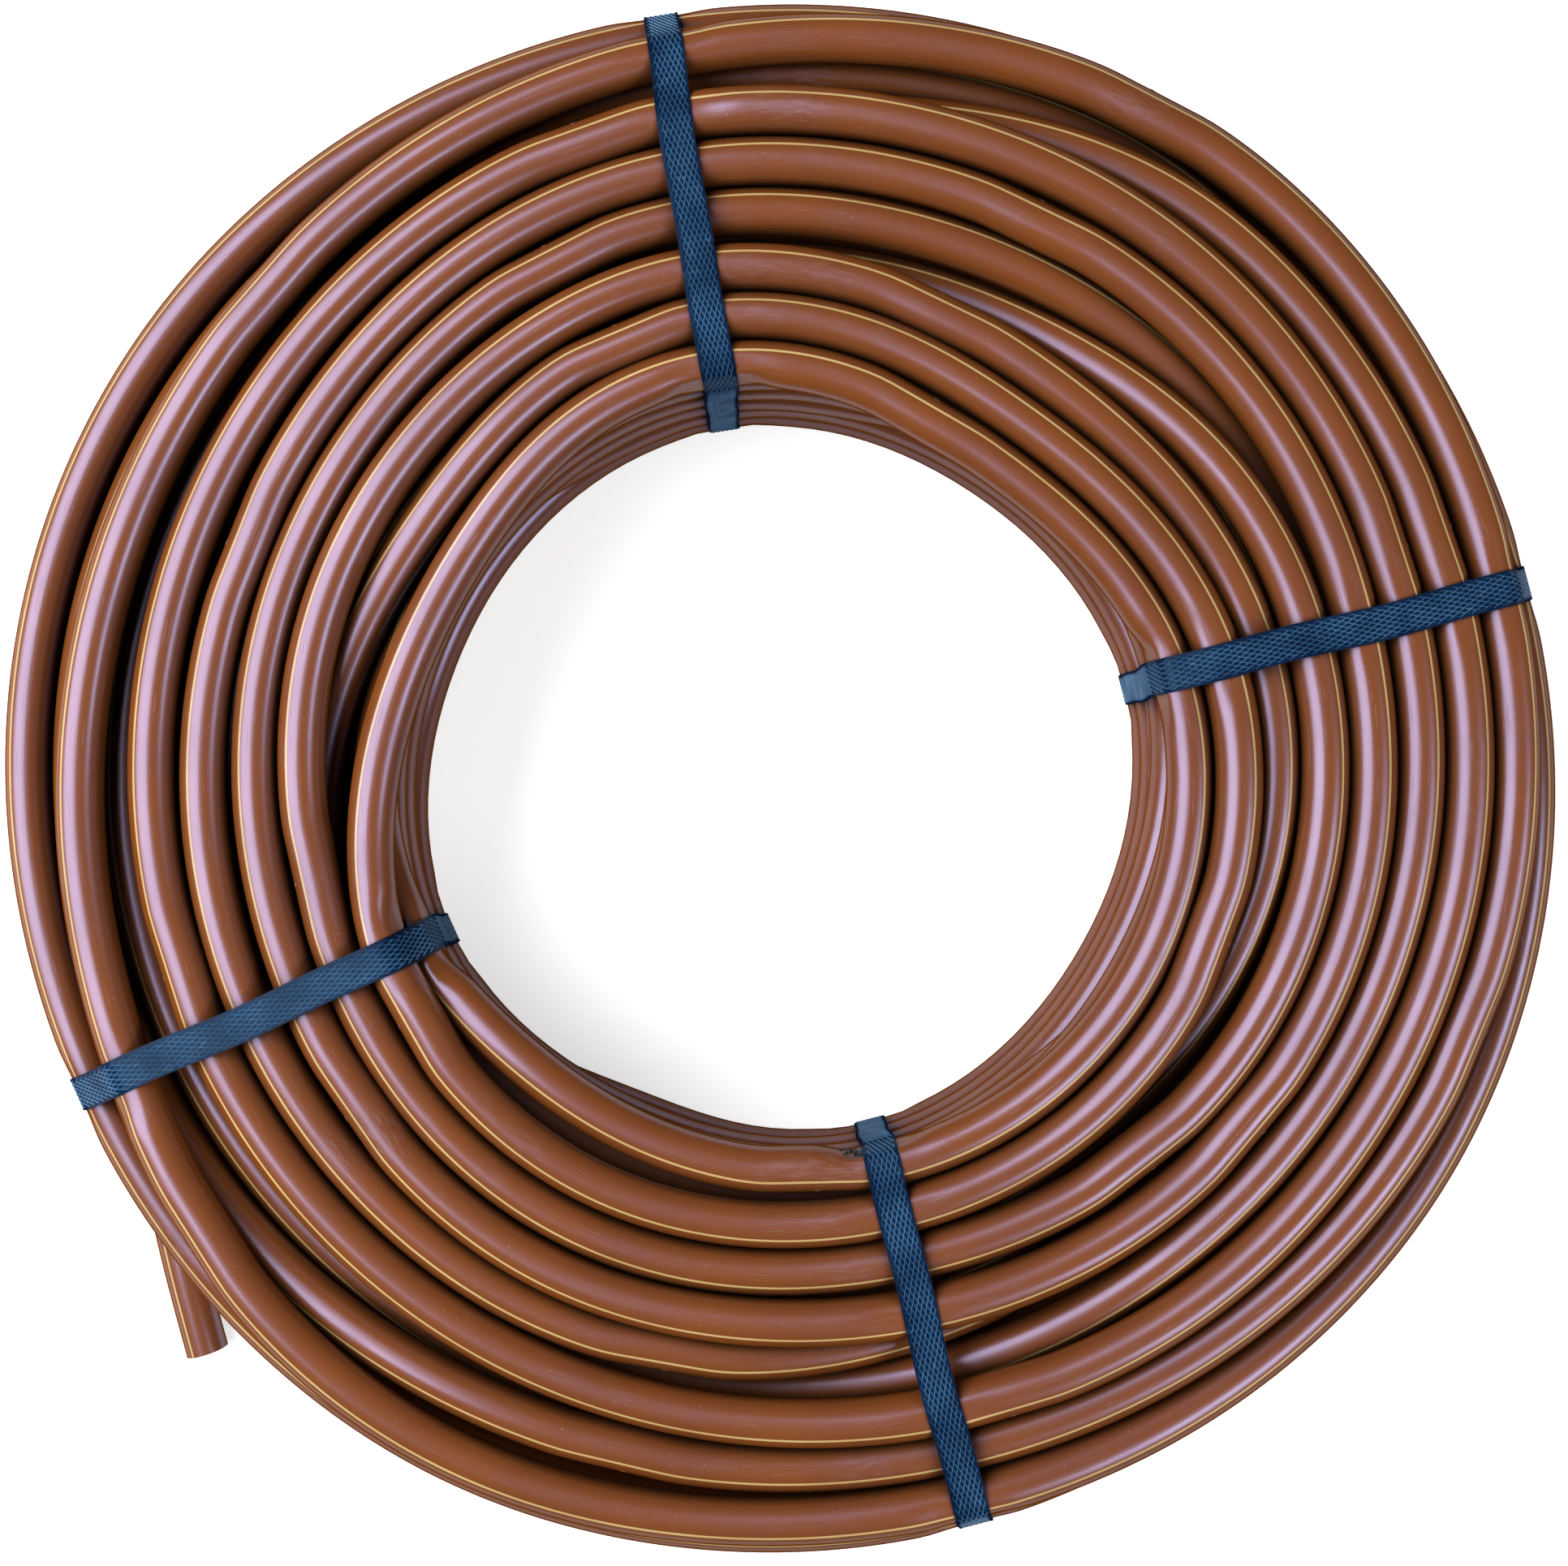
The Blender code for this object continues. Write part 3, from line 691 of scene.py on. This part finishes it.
def strap_piece(name, fit, mats):
    """A taut band round the whole stack of turns, embossed with a net of raised diamonds."""
    side, along = fit.side, fit.along
    place, out = fit.steps()
    count = len(place)
    rows = 2 * CELLS_ACROSS
    net = STRAP_WIDTH / 2.0 - STRAP_EDGE
    wave = 2.0 * math.pi * np.arange(count) / count
    waver = (SLOW_WAVER * np.sin(3.0 * wave + 9.0 * side.x)
             + QUICK_WAVER * np.sin(8.0 * wave + 5.0 * side.y))
    vertices = []
    faces = []
    ridges = []

    def corner(column, across, height):
        column %= count
        flat = place[column] + out[column] * height
        spot = side * float(flat[0]) + UP * float(flat[1]) + along * (across + float(waver[column]))
        vertices.append(spot)
        return len(vertices) - 1

    lattice = {}
    for column in range(count):
        for row in range(column % 2, rows + 1, 2):
            lattice[row, column] = corner(column, net * (2.0 * row / rows - 1.0), STRAP_THICKNESS)
    edges = {}
    for column in range(0, count, 2):
        for sign in (-1, 1):
            half = sign * STRAP_WIDTH / 2.0
            edges[sign, 1, column] = corner(column, half, STRAP_THICKNESS * RIM_SHARE)
            edges[sign, 0, column] = corner(column, half, 0.0)
    for column in range(count):
        before, after = (column - 1) % count, (column + 1) % count
        for row in range(1 - column % 2, rows + 1, 2):
            ring = [lattice.get((row - 1, column)), lattice[row, after],
                    lattice.get((row + 1, column)), lattice[row, before]]
            if row in (0, rows):
                faces.append([point for point in ring if point is not None])
                continue
            centre = sum((vertices[point] for point in ring), Vector()) / 4.0
            sunk = centre - (side * float(out[column][0]) + UP * float(out[column][1])) * RECESS_DEPTH
            first = len(vertices)
            vertices.extend(sunk + (vertices[point] - centre) * RECESS_SHARE for point in ring)
            faces.append([first, first + 1, first + 2, first + 3])
            ridges.extend(range(len(faces), len(faces) + 4))
            faces.extend([ring[n], ring[(n + 1) % 4], first + (n + 1) % 4, first + n] for n in range(4))
    for column in range(0, count, 2):
        after = (column + 2) % count
        low_edge, high_edge = lattice[0, column], lattice[rows, column]
        faces.append([edges[-1, 1, column], edges[-1, 1, after], lattice[0, after], low_edge])
        faces.append([high_edge, lattice[rows, after], edges[1, 1, after], edges[1, 1, column]])
        faces.append([edges[-1, 0, column], edges[-1, 0, after], edges[-1, 1, after], edges[-1, 1, column]])
        faces.append([edges[1, 1, column], edges[1, 1, after], edges[1, 0, after], edges[1, 0, column]])
        faces.append([edges[1, 0, column], edges[1, 0, after], edges[-1, 0, after], edges[-1, 0, column]])
    slots = np.zeros(len(faces), dtype=np.int32)
    # The ridge walls take the second material, whose paler blue is a painted glint
    slots[ridges] = 1
    item = slotted_object(name + "_band", vertices, faces, mats, slots, STRAP_CREASE)
    turn_faces_out(item)
    return item


# ---------------------------------------------------------------- emitters and outlets

# Outlet profile in millimetres: distance from the hole's middle and height over the tube's surface.
# Points above LIP_FOOT lean: the lip is highest at one side.
LIP_PROFILE = ((1.35, -0.30), (1.30, 0.02), (1.12, 0.16), (0.95, 0.20), (0.82, 0.10), (0.78, 0.03))
LIP_SIDES = 20
LIP_FOOT = 0.05
LIP_LEAN = 0.45
LIP_LEAN_TURN = 0.6


def emitter_data(mat):
    """A cylindrical emitter along X: open bore, end collars, a toothed water path and an outlet pool."""
    rows, sides = EMITTER_ROWS, EMITTER_SIDES
    x = np.linspace(-EMITTER_LENGTH / 2.0, EMITTER_LENGTH / 2.0, rows)[:, None]
    turn = (2.0 * math.pi * np.arange(sides) / sides)[None, :]
    teeth = np.cos(2.0 * math.pi * x / TEETH_PITCH + TEETH_SWAY * np.sin(TEETH_WAVES * turn))
    facing = np.cos(turn - math.radians(OUTLET_ANGLE))
    path = (np.abs(x) < PATH_REACH) & (facing < 0.35) & (teeth > 0.1)
    pool = (np.abs(x) < POOL_REACH) & (facing > 0.6)
    radius = EMITTER_RADIUS - PATH_DEPTH * path - POOL_DEPTH * pool
    rings = [radius, np.full((rows, sides), EMITTER_BORE)]
    vertices = np.concatenate([np.stack([np.broadcast_to(x, (rows, sides)), -reach * np.cos(turn),
                                         reach * np.sin(turn)], axis=-1).reshape(-1, 3) for reach in rings])
    faces = np.concatenate(pipe_faces(rows, sides))
    return make_mesh("emitter_body", vertices.tolist(), faces.tolist(), [mat], EMITTER_CREASE)


def emitter_travels(line):
    """How far along the hose each CAD emitter sits."""
    places = {}
    for node in sorted(name for name in frame["nodes"] if name.startswith("emitter_")):
        distance = np.linalg.norm(line.points - np.array(node_centre(node)), axis=1)
        places[node] = float(line.travel[int(np.argmin(distance))])
    return places


def add_emitters(line, places, mat):
    data = emitter_data(mat)
    for node, travel in places.items():
        centre = line.at(travel)
        before, after = line.at(travel - STIFF_REACH / 2.0), line.at(travel + STIFF_REACH / 2.0)
        heading = Vector(after - before).normalized()
        sideways = UP.cross(heading).normalized()
        turn = Matrix((heading, sideways, heading.cross(sideways))).transposed()
        item = make_object(node.replace("emitter", "dripper"), data)
        item.matrix_world = Matrix.Translation(Vector(centre)) @ turn.to_4x4()
        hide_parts(node)
        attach(item, "coil")


def add_outlets(line, places, brown, dark):
    """The drilled outlet over each emitter: a small raised lip, higher on one side, round a flat disc painted
    dark as the shade inside the hole.
    """
    vertices = []
    faces = []
    slots = []
    for travel in places.values():
        spot, heading, out = surface_point(line, travel, OUTLET_ANGLE, TUBE_RADIUS)
        across = out.cross(heading)
        first = len(vertices)
        for reach, height in LIP_PROFILE:
            for n in range(LIP_SIDES):
                turn = 2.0 * math.pi * n / LIP_SIDES
                lean = 1.0
                if height > LIP_FOOT:
                    lean += LIP_LEAN * (math.cos(turn - LIP_LEAN_TURN) - 1.0)
                sideways = reach * MM * math.sin(turn)
                drop = sideways ** 2 / (2.0 * TUBE_RADIUS)
                vertices.append(spot + heading * (reach * MM * math.cos(turn)) + across * sideways
                                + out * (height * MM * lean - drop))
        for step in range(len(LIP_PROFILE) - 1):
            for n in range(LIP_SIDES):
                here, after = first + step * LIP_SIDES + n, first + step * LIP_SIDES + (n + 1) % LIP_SIDES
                faces.append((here, after, after + LIP_SIDES, here + LIP_SIDES))
                slots.append(0)
        last = first + (len(LIP_PROFILE) - 1) * LIP_SIDES
        # The disc that closes the hole takes the painted shade
        faces.append(tuple(range(last, last + LIP_SIDES)))
        slots.append(1)
        faces.append(tuple(range(first + LIP_SIDES - 1, first - 1, -1)))
        slots.append(0)
    item = slotted_object("drip_outlets", vertices, faces, [brown, dark], slots, HOSE_CREASE)
    turn_faces_out(item)
    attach(item, "coil")


# ---------------------------------------------------------------- stage

# The camera looks straight down
CAMERA_HEIGHT = 0.735
CAMERA_OFFSET = (0.0011, -0.0019)
CAMERA_LENS = 42.06
CAMERA_SENSOR = 36.0

# Studio light: each softbox's name, place, width, height and power, and the point that both are aimed at
SOFTBOXES = (("softbox_left", (-0.74, 0.16, 1.03), 1.2, 1.05, 36.0),
             ("softbox_right", (0.80, -0.50, 0.98), 0.95, 0.34, 12.0))
SOFTBOX_AIM = (0.0, 0.0, 0.1)
SOFTBOX_COLOR = (1.0, 0.985, 0.98)

# The world's color, and its strength as a light and as the camera sees it
WORLD_COLOR = (0.96, 0.97, 1.0, 1.0)
WORLD_FILL = 0.07
WORLD_SEEN = 0.85

FLOOR_SIZE = 6.0


def add_floor():
    bpy.ops.mesh.primitive_plane_add(size=FLOOR_SIZE, location=(0.0, 0.0, 0.0))
    floor = bpy.context.object
    floor.name = "floor"
    floor.data.materials.append(floor_material())


def add_softbox(name, place, width, height, power):
    light = bpy.data.lights.new(name, "AREA")
    light.shape = "RECTANGLE"
    light.size = width
    light.size_y = height
    light.energy = power
    light.color = SOFTBOX_COLOR
    item = make_object(name, light)
    item.location = place
    item.rotation_euler = (Vector(SOFTBOX_AIM) - Vector(place)).to_track_quat("-Z", "Y").to_euler()


def add_lights():
    """Two softboxes, and a world that lights faintly but is seen as pale by the camera."""
    for softbox in SOFTBOXES:
        add_softbox(*softbox)
    world = bpy.data.worlds.new("studio")
    world.use_nodes = True
    tree = world.node_tree
    background = tree.nodes["Background"]
    background.inputs["Color"].default_value = WORLD_COLOR
    seen = tree.nodes.new("ShaderNodeLightPath").outputs["Is Camera Ray"]
    strength = tree.nodes.new("ShaderNodeMapRange")
    strength.inputs["To Min"].default_value = WORLD_FILL
    strength.inputs["To Max"].default_value = WORLD_SEEN
    tree.links.new(seen, strength.inputs["Value"])
    tree.links.new(strength.outputs["Result"], background.inputs["Strength"])
    bpy.context.scene.world = world


def add_camera():
    data = bpy.data.cameras.new("camera")
    data.lens = CAMERA_LENS
    data.sensor_width = CAMERA_SENSOR
    item = make_object("camera", data)
    item.location = (*CAMERA_OFFSET, CAMERA_HEIGHT)
    bpy.context.scene.camera = item
    bpy.context.scene.view_settings.view_transform = "Standard"


# ---------------------------------------------------------------- assembly

def add_tubes(line, fits, brown, yellow):
    for node in LENGTHS:
        sides = COARSE_SIDES if node.startswith("hose_layer") else FINE_SIDES
        name = node.replace("hose", "tube").replace("tail", "free_end")
        item = tube_piece(name, line, node, sides, fits, [brown, yellow])
        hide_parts(node)
        if node != "hose_tail":
            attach(item, "coil")
            continue
        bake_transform(item)


def add_straps(fits, mats):
    for name, fit in zip(STRAPS, fits):
        item = strap_piece(name, fit, mats)
        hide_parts(name)
        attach(item, "coil")


def main():
    line = Centreline()
    places = emitter_travels(line)
    line.stiffen(list(places.values()))
    brown = hose_material("hose_brown", *HOSE_BROWNS)
    yellow = hose_material("stripe_yellow", *STRIPE_YELLOWS)
    fits = [StrapFit(name, line) for name in STRAPS]
    add_tubes(line, fits, brown, yellow)
    add_emitters(line, places, emitter_material())
    add_outlets(line, places, brown, hole_material())
    add_straps(fits, [strap_material("strap_navy", *STRAP_CELL),
                      strap_material("strap_ridges_painted_glint", *STRAP_RIDGE_GLINT)])
    add_floor()
    add_lights()
    add_camera()


main()
